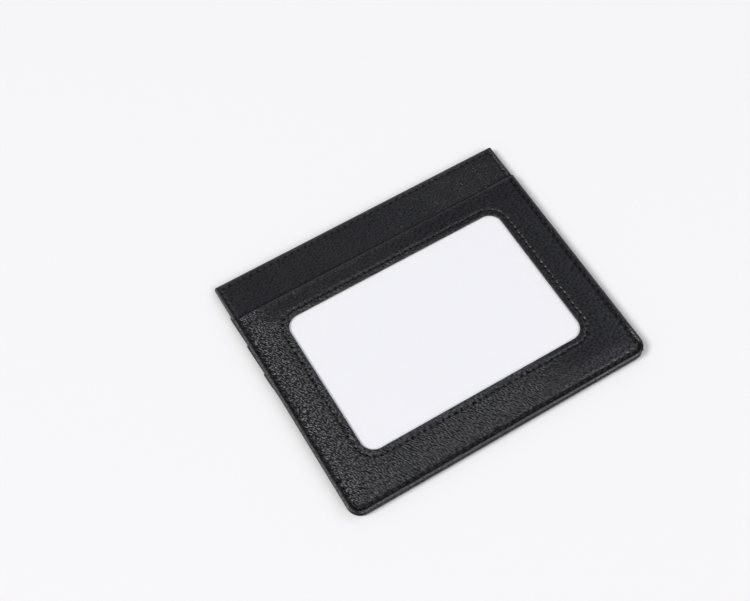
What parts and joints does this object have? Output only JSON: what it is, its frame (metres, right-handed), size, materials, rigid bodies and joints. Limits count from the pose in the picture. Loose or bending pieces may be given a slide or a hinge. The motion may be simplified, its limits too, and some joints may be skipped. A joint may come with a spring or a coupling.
{
  "type": "leather card wallet",
  "caption": "Slim black leather card wallet with a clear window, a blank insert that slides out, an open centre pocket and stacked card slots on the back.",
  "frame": {"origin": "centre of the outline, on the face of the lowest card slot that rests on the table", "axes": "+X along the width, +Y towards the open mouth, +Z out of the window side"},
  "size_m": [0.103, 0.087, 0.0042],
  "materials": {
    "black_leather": "fine pebble grain, semi-matt, pressed seams",
    "black_lining_cloth": "thin plain-weave lining",
    "clear_vinyl": "clear glossy film",
    "white_paper": "smooth blank insert paper"
  },
  "bodies": {
    "wallet": {"window_panel": "black_leather", "window_film": "clear_vinyl", "front_wall": "black_leather", "front_lining": "black_lining_cloth", "back_lining": "black_lining_cloth", "back_wall": "black_leather", "card_slot_1": "black_leather", "slot_1_pocket_cloth": "black_lining_cloth", "card_slot_2": "black_leather", "slot_2_pocket_cloth": "black_lining_cloth", "card_slot_3": "black_leather"},
    "insert": {"insert_card": "white_paper"}
  },
  "joints": [
    {"name": "insert_slide", "type": "slide", "parent": "wallet", "child": "insert", "axis": [0, 1, 0], "range_m": [0, 0.086]}
  ]
}
